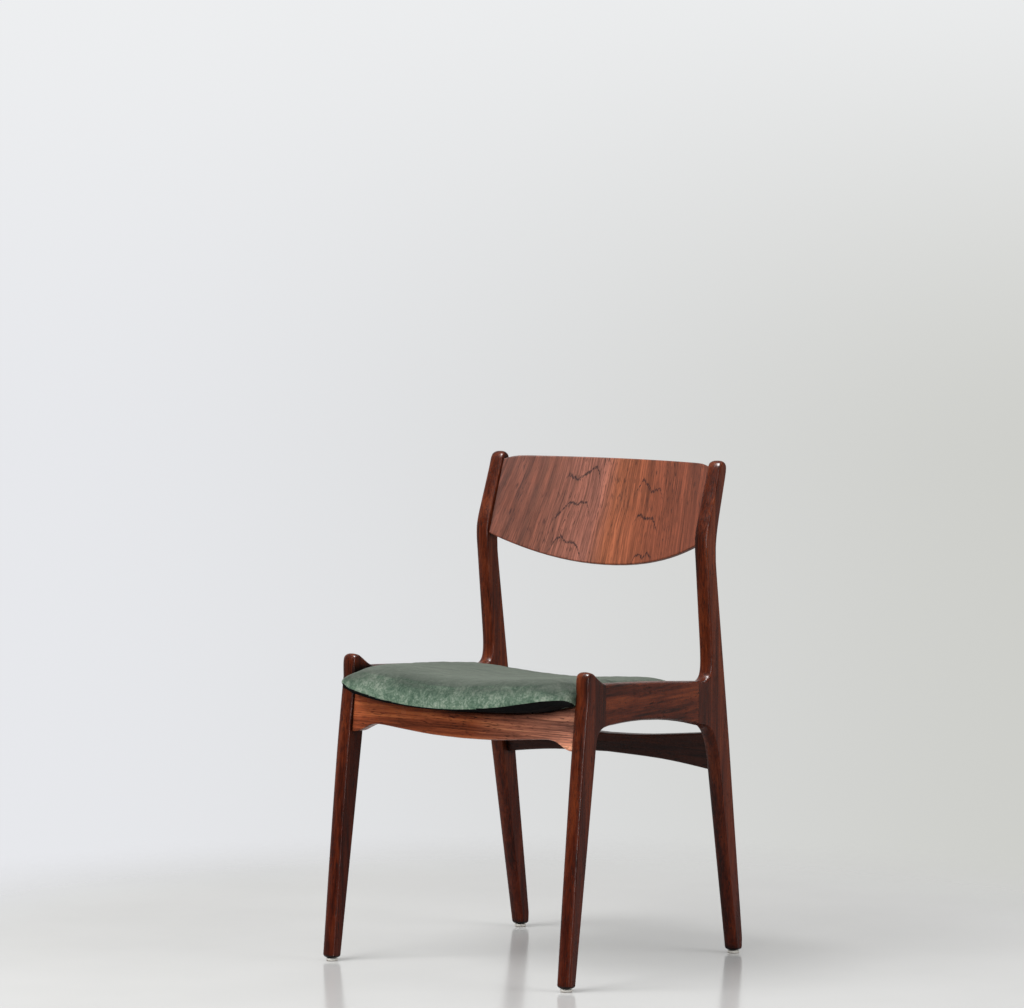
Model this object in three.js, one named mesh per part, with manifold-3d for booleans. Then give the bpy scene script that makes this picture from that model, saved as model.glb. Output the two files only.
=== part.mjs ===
// Dining chair: two flat side frames that toe in towards the back, joined by a front rail, a rear
// rail and a bent backrest, with an upholstered seat pad carried between them.
//
// Millimetres, +Z up. The chair faces -Y, so its sitter's left hand is on +X. The origin is on the
// floor, under the middle of the chair. Outlines of the side frames are drawn with d, the distance
// behind the foremost point of the front feet, and z, the height above the floor.

import * as THREE from 'three';
import { mergeVertices, toCreasedNormals } from 'three/addons/utils/BufferGeometryUtils.js';
import Module from 'manifold-3d';

const wasm = await Module();
wasm.setup();

// ---------------------------------------------------------------- driving dimensions

const DEPTH = 486; // front of the front feet to the back of the rear feet
const ORIGIN_D = 233; // the origin lies this far behind the front of the front feet
const HEIGHT = 790; // floor to the top of the rear posts
const FRONT_FOOT_D = 10; // centre of a front foot
const REAR_FOOT_D = 475; // centre of a rear foot
const FRONT_HALF_WIDTH = 231.8; // middle of a side frame at its front foot, from the centre line
const REAR_HALF_WIDTH = 215; // the same at its rear foot
const FRAME_THICKNESS = 24;
const GAP = 0.3; // between pieces that touch

const CROWN = { width: 11.5, depth: 4 }; // the soft, crowned edge of the side frames
const FOOT_ROUND = 6; // corner radius of a leg's bottom end
const GLIDE = { radius: 9.5, height: 4, pocketRadius: 3.6, pocketDepth: 2 };
const NAIL = { headRadius: 3.3, headHeight: 1.5, shankRadius: 1.2, length: 20 };

const FRONT_JOINT_D = 95; // glue line between a front leg and its side rail
const REAR_JOINT_D = 352; // glue line between a side rail and its rear leg
const DOWEL = { radius: 4, length: 36, intoLeg: 15, clearance: 0.3, endClearance: 1 };
const DOWEL_Z = { // height of the two dowels of each joint
  sideRailFront: { upper: 446, lower: 417 },
  sideRailRear: { upper: 430, lower: 398 },
  frontRail: { upper: 412, lower: 382 },
  rearRail: { upper: 342, lower: 314 },
};

// Each cross rail leans with its legs: its front face is at faceD behind the front feet at height atZ.
const FRONT_RAIL = { faceD: 43, atZ: 371, lean: 0.11, thickness: 22, belowSeat: 1.8 };
const REAR_RAIL = { faceD: 424.5, atZ: 300, lean: -0.14, thickness: 20 };
const RAIL_EDGE = { width: 3, depth: 3 };

const BACKREST = {
  thickness: 9,
  halfChord: 211, // reaches into a groove in each rear post
  bow: 46, // how far the middle lies behind the ends
  lean: 0.303,
  frontDAtTop: 412.4, // front surface of the ends, at the height of the top edge
  top: 784.6,
  endTop: 777,
  middleBottom: 616,
  endBottom: 660,
  edgeRound: 2.4,
};

const SEAT = {
  frontD: -20, // the middle of the front edge reaches out past the feet
  frontBow: 22, // how far the front edge falls back by its ends
  frontCorner: 24,
  rearD: 373,
  rearCorner: 16,
  sideGap: 1.6, // to each side frame
  bottomAtFront: 416.5,
  slope: -0.067, // falls towards the back
  dish: 13, // how far the middle of the board lies below its sides
  dishHalfWidth: 215,
  thickness: 48.5,
  sideFill: 13, // how much thicker the pad is at its sides
  waist: 0.3, // height of the fullest line of the edge, as a share of the thickness
  restingShare: 0.92, // share of the half width that the front rail follows the pad's thinning edge
  coverThickness: 1.5,
  boardThickness: 11,
  hem: 22, // cover turned under the board
};

const CLEAT = { frontD: 120, rearD: 335, width: 26, height: 15, belowSeat: 0.5, screwInset: 10 };
const CLEAT_SCREW = { frontD: 145, rearD: 310, headRadius: 3.8, headHeight: 2.4, shankRadius: 1.75, length: 33 };
const SEAT_SCREW = { frontD: 185, rearD: 275, headRadius: 4, headHeight: 2.6, shankRadius: 2, length: 26 };
const SCREW_TIP = 3; // length of the pointed end of a screw or nail

// ---------------------------------------------------------------- frame of reference

const TOE_SLOPE = (FRONT_HALF_WIDTH - REAR_HALF_WIDTH) / (REAR_FOOT_D - FRONT_FOOT_D);
const TOE_ANGLE = Math.atan(TOE_SLOPE);
const SIDES = { left: 1, right: -1 };

const yOf = (d) => d - ORIGIN_D;
const frameMiddleX = (d) => FRONT_HALF_WIDTH - TOE_SLOPE * (d - FRONT_FOOT_D);
const frameInnerX = (d) => frameMiddleX(d) - FRAME_THICKNESS / 2 / Math.cos(TOE_ANGLE);

// ---------------------------------------------------------------- outlines

// Points along a round arc, from one angle to the other, in degrees.
function arc(centreX, centreY, radius, fromDegrees, toDegrees, steps) {
  const points = [];
  for (let i = 0; i <= steps; i++) {
    const angle = THREE.MathUtils.degToRad(fromDegrees + ((toDegrees - fromDegrees) * i) / steps);
    points.push(new THREE.Vector2(centreX + radius * Math.cos(angle), centreY + radius * Math.sin(angle)));
  }
  return points;
}

// Points along a smooth curve through a few given points.
function smooth(through, steps) {
  const curve = new THREE.SplineCurve(through.map(([x, y]) => new THREE.Vector2(x, y)));
  return curve.getPoints(steps);
}

// A shape from single points and runs of points, with repeated points left out.
function shapeOf(...runs) {
  const points = runs.flatMap((run) => (typeof run[0] === 'number' ? [new THREE.Vector2(...run)] : run));
  const kept = points.filter((p, i) => p.distanceTo(points[(i + points.length - 1) % points.length]) > 0.02);
  return new THREE.Shape(kept);
}

// ---------------------------------------------------------------- solids

const CREASE_ANGLE = Math.PI / 5;

// A three.js geometry as a solid that can be joined and cut.
function solidOf(geometry) {
  const bare = new THREE.BufferGeometry();
  bare.setAttribute('position', geometry.attributes.position.clone());
  if (geometry.index) bare.setIndex(geometry.index.clone());
  const merged = mergeVertices(bare, 1e-3);
  const corners = merged.index.array;
  const triangles = [];
  for (let i = 0; i < corners.length; i += 3) {
    const [a, b, c] = corners.slice(i, i + 3);
    if (a !== b && b !== c && c !== a) triangles.push(a, b, c);
  }
  return new wasm.Manifold(new wasm.Mesh({
    numProp: 3,
    vertProperties: new Float32Array(merged.attributes.position.array),
    triVerts: new Uint32Array(triangles),
  }));
}

function placed(geometry, matrix) {
  return solidOf(geometry.clone().applyMatrix4(matrix));
}

// A solid back as a three.js geometry, smooth over curves and crisp at edges.
function geometryOf(solid) {
  const mesh = solid.getMesh();
  const geometry = new THREE.BufferGeometry();
  geometry.setAttribute('position', new THREE.BufferAttribute(new Float32Array(mesh.vertProperties), 3));
  geometry.setIndex(new THREE.BufferAttribute(new Uint32Array(mesh.triVerts), 1));
  return toCreasedNormals(geometry, CREASE_ANGLE);
}

// An outline given thickness, centred on its own plane, with its edges rounded within the outline.
function slab(shape, thickness, edge, segments) {
  const geometry = new THREE.ExtrudeGeometry(shape, {
    depth: thickness - 2 * edge.width,
    bevelThickness: edge.width,
    bevelSize: edge.depth,
    bevelOffset: -edge.depth,
    bevelSegments: segments,
    curveSegments: 1,
  });
  return geometry.translate(0, 0, edge.width - thickness / 2);
}

// A closed skin over a row of closed rings of points, with a fan over each end.
function loft(rings) {
  const count = rings[0].length;
  const points = rings.flat();
  const triangles = [];
  const centreOf = (ring) => ring.reduce((sum, p) => sum.add(p), new THREE.Vector3()).divideScalar(count);
  for (let r = 0; r + 1 < rings.length; r++) {
    for (let i = 0; i < count; i++) {
      const a = r * count + i;
      const b = r * count + ((i + 1) % count);
      triangles.push(a, a + count, b, b, a + count, b + count);
    }
  }
  const first = points.push(centreOf(rings[0])) - 1;
  const last = points.push(centreOf(rings[rings.length - 1])) - 1;
  const lastRing = (rings.length - 1) * count;
  for (let i = 0; i < count; i++) {
    const next = (i + 1) % count;
    triangles.push(first, i, next);
    triangles.push(last, lastRing + next, lastRing + i);
  }
  const geometry = new THREE.BufferGeometry().setFromPoints(points);
  geometry.setIndex(triangles);
  return geometry;
}

// A round rod along a line, from one point to another.
function rod(from, to, radius, segments = 10) {
  const along = to.clone().sub(from);
  const geometry = new THREE.CylinderGeometry(radius, radius, along.length(), segments);
  const axis = along.clone().normalize();
  geometry.applyQuaternion(new THREE.Quaternion().setFromUnitVectors(new THREE.Vector3(0, 1, 0), axis));
  const middle = from.clone().add(to).multiplyScalar(0.5);
  return solidOf(geometry.translate(middle.x, middle.y, middle.z));
}

// ---------------------------------------------------------------- materials

function finish(color, roughness, metalness = 0) {
  return new THREE.MeshStandardMaterial({ color, roughness, metalness });
}

const WOOD = finish(0x5a2a1c, 0.35);
const VENEER = finish(0x8a4630, 0.35);
const PLYWOOD = finish(0xb08a5e, 0.7);
const VELVET = finish(0x6f8472, 0.95);
const FOAM = finish(0xd8c890, 1);
const NYLON = finish(0xcfc6b4, 0.5);
const STEEL = finish(0x9a9a96, 0.4, 1);

const chair = new THREE.Group();

function addPart(name, solid, material) {
  const mesh = new THREE.Mesh(geometryOf(solid), material);
  mesh.name = name;
  chair.add(mesh);
}

// ---------------------------------------------------------------- side frames

// The whole side frame as one outline: front leg with its horn, side rail and kneed rear leg.
function sideFrameShape() {
  const bottom = GLIDE.height + GAP;
  return shapeOf(
    arc(5.2, bottom + FOOT_ROUND, FOOT_ROUND, 185, 270, 4),
    arc(14.4, bottom + FOOT_ROUND, FOOT_ROUND, 270, 350, 4),
    [46, 184],
    smooth([[70, 350], [73, 372], [78.6, 386.6], [90, 393.6], [108, 396.6]], 12),
    arc(164.8, -475, 873, 93, 77.2, 9),
    smooth([[362, 375.4], [378, 371.4], [391, 361], [401, 342], [408, 319]], 12),
    [437, 160],
    arc(470.8, bottom + FOOT_ROUND, FOOT_ROUND, 190, 270, 4),
    arc(479.4, bottom + FOOT_ROUND, FOOT_ROUND, 270, 350, 4),
    smooth([[486, 24], [478.6, 80], [458.6, 228], [442.6, 350]], 8),
    smooth([[442.6, 350], [420.6, 500], [404, 614], [401.6, 640], [402, 662], [408, 694], [425, 757]], 26),
    smooth([[425, 757], [429, 774], [428, 784], [420.4, 790], [411, 787.4], [406, 780]], 12),
    smooth([[406, 780], [399, 758], [384, 715], [372.6, 681], [370, 657], [373.4, 620], [382, 536]], 24),
    smooth([[382, 536], [386.6, 490], [387, 466], [383, 452], [372, 445.4], [356, 446]], 16),
    smooth([[356, 446], [230, 455.6], [112, 462.2]], 6),
    smooth([[112, 462.2], [98, 463], [86, 467.2], [74, 475], [64, 481.6]], 12),
    smooth([[64, 481.6], [55, 483.2], [48, 478.6], [45.6, 468], [45.8, 447]], 12),
    smooth([[45.8, 447], [38.4, 392], [28.6, 310], [10.4, 130]], 10),
  );
}

// The side frame's plane turned upright, toed in and moved out to its side.
function sideFramePose(side) {
  const upright = new THREE.Matrix4().makeBasis(
    new THREE.Vector3(0, 1, 0), new THREE.Vector3(0, 0, 1), new THREE.Vector3(1, 0, 0),
  );
  const atFrontFoot = new THREE.Matrix4().makeTranslation(side * FRONT_HALF_WIDTH, yOf(FRONT_FOOT_D), 0);
  const toeIn = new THREE.Matrix4().makeRotationZ(side * TOE_ANGLE);
  const fromFrontFoot = new THREE.Matrix4().makeTranslation(0, -FRONT_FOOT_D, 0);
  return atFrontFoot.multiply(toeIn).multiply(fromFrontFoot).multiply(upright);
}

// A slice of space between two distances from the front feet, over the chair's whole height.
function slice(fromD, toD) {
  const box = new THREE.BoxGeometry(DEPTH * 2, toD - fromD, HEIGHT * 2);
  return solidOf(box.translate(0, yOf((fromD + toD) / 2), HEIGHT / 2));
}

// Space between the two side frames, kept a gap away from their inner faces.
function betweenFrames(gap) {
  const [frontD, rearD] = [-DEPTH, 2 * DEPTH];
  const plan = shapeOf(
    [-frameInnerX(frontD) + gap, yOf(frontD)], [frameInnerX(frontD) - gap, yOf(frontD)],
    [frameInnerX(rearD) - gap, yOf(rearD)], [-frameInnerX(rearD) + gap, yOf(rearD)],
  );
  return solidOf(new THREE.ExtrudeGeometry(plan, { depth: HEIGHT * 2, bevelEnabled: false }));
}

// ---------------------------------------------------------------- front and rear rails

const railMiddleD = (rail, z) => rail.faceD + rail.thickness / 2 + rail.lean * (z - rail.atZ);

// Dished underside of the seat, at x across and d back.
function seatBottomZ(x, d) {
  return SEAT.bottomAtFront + SEAT.slope * (d - SEAT.frontD) + SEAT.dish * (x / SEAT.dishHalfWidth) ** 2;
}

// How full the pad is at a share u of the half width across the chair: its edges thin out.
const padFullness = (u) => Math.max(0.1, Math.sqrt(1 - Math.abs(u) ** 5));

const padThickness = (x) => SEAT.thickness + SEAT.sideFill * (x / SEAT.dishHalfWidth) ** 2;

// An upright outline across the chair, given thickness, leant with the legs and cut to fit.
function crossRail(shape, rail) {
  const geometry = slab(shape, rail.thickness, RAIL_EDGE, 2);
  geometry.applyMatrix4(new THREE.Matrix4().makeBasis(
    new THREE.Vector3(1, 0, 0), new THREE.Vector3(0, 0, 1), new THREE.Vector3(0, -1, 0),
  ));
  geometry.applyMatrix4(new THREE.Matrix4().makeShear(0, 0, 0, 0, 0, rail.lean));
  geometry.translate(0, yOf(railMiddleD(rail, 0)), 0);
  return solidOf(geometry).intersect(betweenFrames(GAP));
}

const mirrored = (points) => points.map((p) => new THREE.Vector2(-p.x, p.y)).reverse();

// Underside of the pad at x across and d back, where it rests on a rail.
function padUndersideZ(x, d) {
  const u = Math.min(SEAT.restingShare, Math.abs(x) / (frameInnerX(d) - SEAT.sideGap));
  return seatBottomZ(x, d) + padThickness(x) * SEAT.waist * (1 - padFullness(u));
}

// Front rail: its top follows the pad, its lower edge dips in the middle and at both ends.
function frontRailSolid() {
  const end = FRONT_HALF_WIDTH;
  const lowerRight = smooth([
    [0, 366.6], [60, 368], [120, 372.6], [162, 376.2], [180, 374.6], [194, 368.4], [207, 362.6], [end, 359.6],
  ], 22);
  const top = [];
  const middleD = railMiddleD(FRONT_RAIL, 420);
  for (let i = 0; i <= 28; i++) {
    const x = end - (2 * end * i) / 28;
    top.push(new THREE.Vector2(x, padUndersideZ(x, middleD) - FRONT_RAIL.belowSeat));
  }
  return crossRail(shapeOf(mirrored(lowerRight), lowerRight, top), FRONT_RAIL);
}

// Rear rail: narrow in the middle, wide at both ends.
function rearRailSolid() {
  const end = FRONT_HALF_WIDTH;
  const lowerRight = smooth([[0, 311.5], [90, 308.6], [150, 303.6], [end, 293]], 14);
  const upperRight = smooth([[0, 342.6], [76, 345.4], [171, 354.4], [end, 361]], 14);
  const upperLeft = mirrored(upperRight).reverse();
  return crossRail(shapeOf(mirrored(lowerRight), lowerRight, upperRight.reverse(), upperLeft), REAR_RAIL);
}

// ---------------------------------------------------------------- dowels

// Where each dowel runs: a point on the glue line, and the direction of the piece it is driven into.
function dowelSpots() {
  const spots = [];
  for (const [sideName, side] of Object.entries(SIDES)) {
    const add = (joint, x, d, z, into) => {
      const middle = new THREE.Vector3(side * x, yOf(d), z);
      spots.push({ name: `dowel_${joint}_${sideName}`, middle, into });
    };
    const backwards = new THREE.Vector3(0, 1, 0);
    const outwards = new THREE.Vector3(side, 0, 0);
    for (const place of ['upper', 'lower']) {
      const [frontZ, rearZ] = [DOWEL_Z.sideRailFront[place], DOWEL_Z.sideRailRear[place]];
      add(`side_rail_front_${place}`, frameMiddleX(FRONT_JOINT_D), FRONT_JOINT_D, frontZ, backwards);
      add(`side_rail_rear_${place}`, frameMiddleX(REAR_JOINT_D), REAR_JOINT_D, rearZ, backwards);
      for (const [joint, rail, z] of [
        ['front_rail', FRONT_RAIL, DOWEL_Z.frontRail[place]],
        ['rear_rail', REAR_RAIL, DOWEL_Z.rearRail[place]],
      ]) {
        const d = railMiddleD(rail, z);
        add(`${joint}_${place}`, frameInnerX(d), d, z, outwards);
      }
    }
  }
  return spots;
}

// The dowels of the cross rails go less deep into a leg, which is only as thick as the side frame.
function dowelRod(spot, extraRadius, extraLength) {
  const half = DOWEL.length / 2;
  const reach = spot.into.x === 0 ? half : DOWEL.intoLeg;
  const from = spot.middle.clone().addScaledVector(spot.into, -half - extraLength);
  const to = spot.middle.clone().addScaledVector(spot.into, reach + extraLength);
  return rod(from, to, DOWEL.radius + extraRadius);
}

// ---------------------------------------------------------------- backrest

// A bent panel that leans with the rear posts, as upright sections from one end to the other.
function backrestSolid(grow) {
  const { thickness, halfChord, bow, lean, frontDAtTop, top, endTop, middleBottom, endBottom } = BACKREST;
  const stretch = Math.hypot(1, lean);
  const up = new THREE.Vector3(0, lean, 1).divideScalar(stretch);
  const back = new THREE.Vector3(0, 1, -lean).divideScalar(stretch);
  const round = BACKREST.edgeRound + grow;
  const columns = 30;
  const cornerStart = 0.82; // the top edge starts to fall this far out
  const sections = [];
  for (let i = 0; i <= columns; i++) {
    const u = Math.sin((Math.PI / 2) * ((2 * i) / columns - 1));
    const cornerFall = (top - endTop) * (Math.max(0, Math.abs(u) - cornerStart) / (1 - cornerStart)) ** 2;
    const bottomZ = middleBottom + (endBottom - middleBottom) * Math.abs(u) ** 2.1;
    const high = -cornerFall * stretch + grow - round;
    const low = (bottomZ - top) * stretch - grow + round;
    const [front, rear] = [round - grow, thickness + grow - round];
    const corners = [
      ...arc(high, rear, round, 0, 90, 3), ...arc(low, rear, round, 90, 180, 3),
      ...arc(low, front, round, 180, 270, 3), ...arc(high, front, round, 270, 360, 3),
    ];
    const origin = new THREE.Vector3(u * (halfChord + grow), yOf(frontDAtTop) + bow * (1 - u * u), top);
    sections.push(corners.map((p) => origin.clone().addScaledVector(up, p.x).addScaledVector(back, p.y)));
  }
  return solidOf(loft(sections));
}

// ---------------------------------------------------------------- seat

// How far a rounded corner holds an edge back, at a share u of the half width across the chair.
function cornerFall(u, radius) {
  const across = Math.max(0, Math.abs(u) - 1 + radius / SEAT.dishHalfWidth) * (SEAT.dishHalfWidth / radius);
  return radius * (1 - Math.sqrt(Math.max(0, 1 - across * across)));
}

// The whole pad, shrunk by inset on every side: crowned on top, soft at every edge, dished across.
function padSolid(inset) {
  const columns = 22;
  const steps = 22;
  const sections = [];
  for (let i = 0; i <= columns; i++) {
    const u = Math.sin((Math.PI / 2) * ((2 * i) / columns - 1));
    const rim = padFullness(u);
    const frontD = SEAT.frontD + SEAT.frontBow * u * u + cornerFall(u, SEAT.frontCorner) + inset;
    const rearD = SEAT.rearD - cornerFall(u, SEAT.rearCorner) - inset;
    const section = [];
    for (let j = 0; j < steps; j++) {
      const angle = (-2 * Math.PI * j) / steps;
      const along = Math.sign(Math.cos(angle)) * Math.abs(Math.cos(angle)) ** 0.28;
      const rise = Math.sin(angle) * rim;
      const d = (frontD + rearD) / 2 + ((rearD - frontD) / 2) * along;
      const x = u * (frameInnerX(d) - SEAT.sideGap - inset);
      const thickness = padThickness(x);
      const waist = seatBottomZ(x, d) + thickness * SEAT.waist;
      const reach = thickness * (rise > 0 ? 1 - SEAT.waist : SEAT.waist) - inset;
      section.push(new THREE.Vector3(x, yOf(d), waist + reach * rise));
    }
    sections.push(section);
  }
  return solidOf(loft(sections));
}

// Everything above the top face of the seat board, lifted by a little.
function aboveBoard(lift) {
  const columns = 24;
  const reach = 300;
  const sections = [];
  for (let i = 0; i <= columns; i++) {
    const x = -reach + (2 * reach * i) / columns;
    const [frontD, rearD] = [-50, DEPTH];
    const base = SEAT.coverThickness + SEAT.boardThickness + lift;
    sections.push([
      new THREE.Vector3(x, yOf(frontD), seatBottomZ(x, frontD) + base),
      new THREE.Vector3(x, yOf(frontD), HEIGHT),
      new THREE.Vector3(x, yOf(rearD), HEIGHT),
      new THREE.Vector3(x, yOf(rearD), seatBottomZ(x, rearD) + base),
    ]);
  }
  return solidOf(loft(sections));
}

// The part of the pad's underside that the turned-under cover leaves open.
function hemOpening() {
  const frontD = SEAT.frontD + SEAT.frontBow + SEAT.hem;
  const rearD = SEAT.rearD - SEAT.hem;
  const halfWidth = (d) => frameInnerX(d) - SEAT.sideGap - SEAT.hem;
  const plan = shapeOf(
    [-halfWidth(frontD), yOf(frontD)], [halfWidth(frontD), yOf(frontD)],
    [halfWidth(rearD), yOf(rearD)], [-halfWidth(rearD), yOf(rearD)],
  );
  const column = new THREE.ExtrudeGeometry(plan, { depth: SEAT.bottomAtFront, bevelEnabled: false });
  return solidOf(column).subtract(aboveBoard(-SEAT.boardThickness / 2));
}

// ---------------------------------------------------------------- cleats and screws

const cleatInnerX = (d) => frameInnerX(d) - GAP - CLEAT.width;

// A batten on the inside of a side rail, its top face cut to the seat's dish.
function cleatSolid(side) {
  const sections = [CLEAT.frontD, CLEAT.rearD].map((d) => {
    const inner = cleatInnerX(d);
    const outer = inner + CLEAT.width;
    const middle = (inner + outer) / 2;
    const topZ = (x) => seatBottomZ(x, d) - CLEAT.belowSeat;
    const bottomZ = topZ(inner) - CLEAT.height;
    const corners = [
      [outer, bottomZ], [outer, topZ(outer)], [middle, topZ(middle)], [inner, topZ(inner)], [inner, bottomZ],
    ];
    return corners.map(([x, z]) => new THREE.Vector3(side * x, yOf(d), z));
  });
  return solidOf(loft(side > 0 ? sections : sections.map((ring) => ring.reverse())));
}

// A countersunk screw from the middle of its head's face, along a direction.
function screwSolid(head, direction, screw, clearance) {
  const { headRadius, headHeight, shankRadius, length } = screw;
  const profile = [
    [0, -clearance], [headRadius + clearance, -clearance], [shankRadius + clearance, headHeight + clearance],
    [shankRadius + clearance, length - SCREW_TIP + clearance], [0, length + clearance],
  ].map(([x, y]) => new THREE.Vector2(x, y));
  const geometry = new THREE.LatheGeometry(profile, 10);
  geometry.applyQuaternion(new THREE.Quaternion().setFromUnitVectors(new THREE.Vector3(0, 1, 0), direction));
  return solidOf(geometry.translate(head.x, head.y, head.z));
}

// Screws through the cleats: two into each side rail, two up into the seat board.
function screwSpots() {
  const spots = [];
  for (const [sideName, side] of Object.entries(SIDES)) {
    const add = (name, screw, x, d, z, direction) => {
      const head = new THREE.Vector3(side * x, yOf(d), z);
      spots.push({ name: `${name}_${sideName}`, screw, head, direction });
    };
    const outwards = new THREE.Vector3(side, 0, 0);
    const upwards = new THREE.Vector3(0, 0, 1);
    for (const place of ['front', 'rear']) {
      const cleatD = CLEAT_SCREW[`${place}D`];
      const inner = cleatInnerX(cleatD);
      const middleZ = seatBottomZ(inner, cleatD) - CLEAT.belowSeat - CLEAT.height / 2;
      add(`cleat_screw_${place}`, CLEAT_SCREW, inner, cleatD, middleZ, outwards);
      const seatD = SEAT_SCREW[`${place}D`];
      const lowZ = seatBottomZ(cleatInnerX(seatD), seatD) - CLEAT.belowSeat - CLEAT.height;
      add(`seat_screw_${place}`, SEAT_SCREW, cleatInnerX(seatD) + CLEAT.screwInset, seatD, lowZ, upwards);
    }
  }
  return spots;
}

// ---------------------------------------------------------------- glides

function lathed(profile, x, d, segments) {
  const geometry = new THREE.LatheGeometry(profile.map(([r, z]) => new THREE.Vector2(r, z)), segments);
  geometry.rotateX(Math.PI / 2);
  return solidOf(geometry.translate(x, yOf(d), 0));
}

// A nylon disc with a pocket in its top for the head of its nail.
function glideSolid(x, d) {
  const { radius, height, pocketRadius, pocketDepth } = GLIDE;
  return lathed([[0, 0], [radius - 1, 0], [radius, 1], [radius, height - 0.8], [radius - 0.8, height],
    [pocketRadius, height], [pocketRadius, height - pocketDepth], [0, height - pocketDepth]], x, d, 20);
}

function nailSolid(x, d, clearance) {
  const { headRadius, headHeight, shankRadius, length } = NAIL;
  const base = GLIDE.height - GLIDE.pocketDepth + GAP;
  const shank = shankRadius + clearance;
  return lathed([[0, base], [headRadius, base], [headRadius, base + headHeight], [shank, base + headHeight],
    [shank, base + length - SCREW_TIP + clearance], [0, base + length + clearance]], x, d, 8);
}

function footSpots() {
  const spots = [];
  for (const [sideName, side] of Object.entries(SIDES)) {
    spots.push({ name: `front_${sideName}`, x: side * FRONT_HALF_WIDTH, d: FRONT_FOOT_D });
    spots.push({ name: `rear_${sideName}`, x: side * REAR_HALF_WIDTH, d: REAR_FOOT_D });
  }
  return spots;
}

// ---------------------------------------------------------------- the chair

const dowels = dowelSpots();
const screws = screwSpots();
const feet = footSpots();

const dowelHoles = dowels.map((spot) => dowelRod(spot, DOWEL.clearance, DOWEL.endClearance));
const screwHoles = screws.map(({ head, direction, screw }) => screwSolid(head, direction, screw, GAP));
const nailHoles = feet.map(({ x, d }) => nailSolid(x, d, GAP));
const cutAll = (solid, cutters) => cutters.reduce((rest, cutter) => rest.subtract(cutter), solid);

const backrestGroove = backrestSolid(GAP);
const frame = slab(sideFrameShape(), FRAME_THICKNESS, CROWN, 4);

for (const [sideName, side] of Object.entries(SIDES)) {
  const whole = placed(frame, sideFramePose(side));
  const frontLeg = whole.intersect(slice(-DEPTH, FRONT_JOINT_D - GAP / 2));
  const sideRail = whole.intersect(slice(FRONT_JOINT_D + GAP / 2, REAR_JOINT_D - GAP / 2));
  const rearLeg = whole.intersect(slice(REAR_JOINT_D + GAP / 2, 2 * DEPTH)).subtract(backrestGroove);
  addPart(`front_leg_${sideName}`, cutAll(frontLeg, [...dowelHoles, ...nailHoles]), WOOD);
  addPart(`side_rail_${sideName}`, cutAll(sideRail, [...dowelHoles, ...screwHoles]), WOOD);
  addPart(`rear_leg_${sideName}`, cutAll(rearLeg, [...dowelHoles, ...nailHoles]), WOOD);
  addPart(`seat_cleat_${sideName}`, cutAll(cleatSolid(side), screwHoles), WOOD);
}

addPart('front_rail', cutAll(frontRailSolid(), dowelHoles), WOOD);
addPart('rear_rail', cutAll(rearRailSolid(), dowelHoles), WOOD);
addPart('backrest_panel', backrestSolid(0), VENEER);

const filling = padSolid(SEAT.coverThickness + GAP);
const cover = padSolid(0).subtract(padSolid(SEAT.coverThickness)).subtract(hemOpening());
addPart('seat_board', cutAll(filling.subtract(aboveBoard(0)), screwHoles), PLYWOOD);
addPart('seat_foam', filling.intersect(aboveBoard(GAP)), FOAM);
addPart('seat_cover', cutAll(cover, screwHoles), VELVET);

for (const spot of dowels) addPart(spot.name, dowelRod(spot, 0, 0), PLYWOOD);
for (const { name, head, direction, screw } of screws) {
  addPart(name, screwSolid(head, direction, screw, 0), STEEL);
}
for (const { name, x, d } of feet) {
  addPart(`glide_${name}`, glideSolid(x, d), NYLON);
  addPart(`glide_nail_${name}`, nailSolid(x, d, 0), STEEL);
}

export default chair;
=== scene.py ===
"""Looks of a wooden dining chair with a velvet seat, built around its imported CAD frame."""

import math

import bmesh
import bpy
import numpy as np
from mathutils import Matrix, Vector, noise


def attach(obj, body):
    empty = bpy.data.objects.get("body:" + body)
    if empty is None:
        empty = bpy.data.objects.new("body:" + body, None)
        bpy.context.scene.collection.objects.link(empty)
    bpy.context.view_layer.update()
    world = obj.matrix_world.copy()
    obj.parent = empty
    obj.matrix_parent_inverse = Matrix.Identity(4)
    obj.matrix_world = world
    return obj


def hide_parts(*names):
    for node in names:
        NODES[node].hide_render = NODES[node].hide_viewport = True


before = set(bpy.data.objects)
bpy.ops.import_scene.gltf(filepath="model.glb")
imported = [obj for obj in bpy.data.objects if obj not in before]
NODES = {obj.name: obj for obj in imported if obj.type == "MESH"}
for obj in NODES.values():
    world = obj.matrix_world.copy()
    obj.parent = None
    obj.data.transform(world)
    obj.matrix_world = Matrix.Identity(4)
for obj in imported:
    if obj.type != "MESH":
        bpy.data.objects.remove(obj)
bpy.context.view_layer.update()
SIDES = ("left", "right")

# ------------------------------------------------------------------ camera

CAMERA_PLACE = Vector((4.427, -5.7816, 1.1874))
CAMERA_YAW, CAMERA_PITCH, CAMERA_ROLL = 0.6588, -0.0640, 0.0043
CAMERA_LENS = 162.8


def look_axes(yaw, pitch, roll):
    """Right, up and forward of a camera that looks along +Y, turned left by yaw and up by pitch."""
    ahead = math.cos(pitch)
    forward = Vector((-math.sin(yaw) * ahead, math.cos(yaw) * ahead, math.sin(pitch)))
    level = Vector((math.cos(yaw), math.sin(yaw), 0))
    upright = level.cross(forward)
    right = math.cos(roll) * level + math.sin(roll) * upright
    up = math.cos(roll) * upright - math.sin(roll) * level
    return right, up, forward


VIEW_RIGHT, VIEW_UP, VIEW_FORWARD = look_axes(CAMERA_YAW, CAMERA_PITCH, CAMERA_ROLL)


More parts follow.
